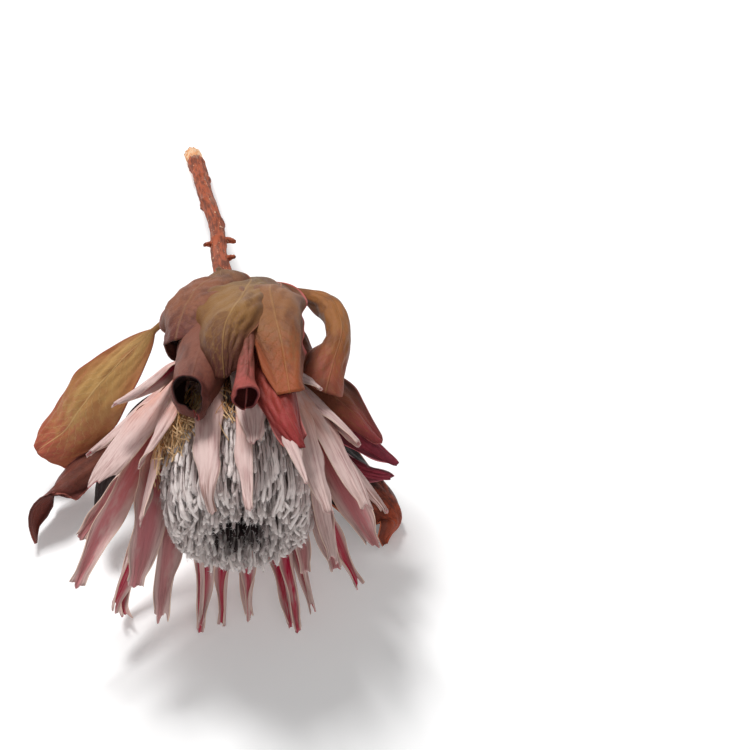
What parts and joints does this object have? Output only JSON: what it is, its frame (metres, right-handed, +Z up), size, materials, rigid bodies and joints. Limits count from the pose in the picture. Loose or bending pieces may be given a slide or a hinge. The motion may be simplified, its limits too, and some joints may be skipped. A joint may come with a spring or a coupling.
{
  "type": "dried king protea flower",
  "caption": "Cut and dried king protea flower lying down: felted florets in a cup of long pointed bracts, curled leathery leaves and a crooked woody stem.",
  "frame": {"origin": "middle of the underside of the whole flower's box, on the surface that it lies on", "axes": "+Y from the head back along the stem, the longest side; +Z up, away from the surface, the shortest side; +X to the right for someone who looks along +Y"},
  "size_m": [0.1744, 0.4128, 0.1356],
  "materials": {
    "stem_bark": "rough, peeling orange-brown bark",
    "floret_felt": "grey-white felt, matt",
    "dried_bract": "matt dusty pink outside, crimson on the inner face and edges",
    "brown_scale": "matt brown",
    "dried_leaf": "satin golden brown to maroon"
  },
  "bodies": {
    "root": {"basal_scale_1": "brown_scale", "basal_scale_2": "brown_scale", "basal_scale_3": "brown_scale", "basal_scale_4": "brown_scale", "basal_scale_5": "brown_scale", "basal_scale_6": "brown_scale", "boat_leaf": "dried_leaf", "broad_left_leaf": "dried_leaf", "cupped_leaf": "dried_leaf", "dark_back_leaf": "dried_leaf", "drooping_leaf": "dried_leaf", "far_right_leaf": "dried_leaf", "floor_leaf": "dried_leaf", "florets": "floret_felt", "folded_right_leaf": "dried_leaf", "hood_leaf": "dried_leaf", "inner_bract_1": "dried_bract", "inner_bract_10": "dried_bract", "inner_bract_11": "dried_bract", "inner_bract_12": "dried_bract", "inner_bract_13": "dried_bract", "inner_bract_14": "dried_bract", "inner_bract_2": "dried_bract", "inner_bract_3": "dried_bract", "inner_bract_4": "dried_bract", "inner_bract_5": "dried_bract", "inner_bract_6": "dried_bract", "inner_bract_7": "dried_bract", "inner_bract_8": "dried_bract", "inner_bract_9": "dried_bract", "middle_bract_1": "dried_bract", "middle_bract_10": "dried_bract", "middle_bract_2": "dried_bract", "middle_bract_3": "dried_bract", "middle_bract_4": "dried_bract", "middle_bract_5": "dried_bract", "middle_bract_6": "dried_bract", "middle_bract_7": "dried_bract", "middle_bract_8": "dried_bract", "middle_bract_9": "dried_bract", "narrow_red_leaf": "dried_leaf", "outer_bract_1": "dried_bract", "outer_bract_10": "dried_bract", "outer_bract_2": "dried_bract", "outer_bract_3": "dried_bract", "outer_bract_4": "dried_bract", "outer_bract_5": "dried_bract", "outer_bract_6": "dried_bract", "outer_bract_7": "dried_bract", "outer_bract_8": "dried_bract", "outer_bract_9": "dried_bract", "rolled_left_leaf": "dried_leaf", "rolled_red_leaf": "dried_leaf", "stem_with_receptacle": "stem_bark", "trumpet_leaf": "dried_leaf", "veined_leaf": "dried_leaf"}
  },
  "joints": []
}
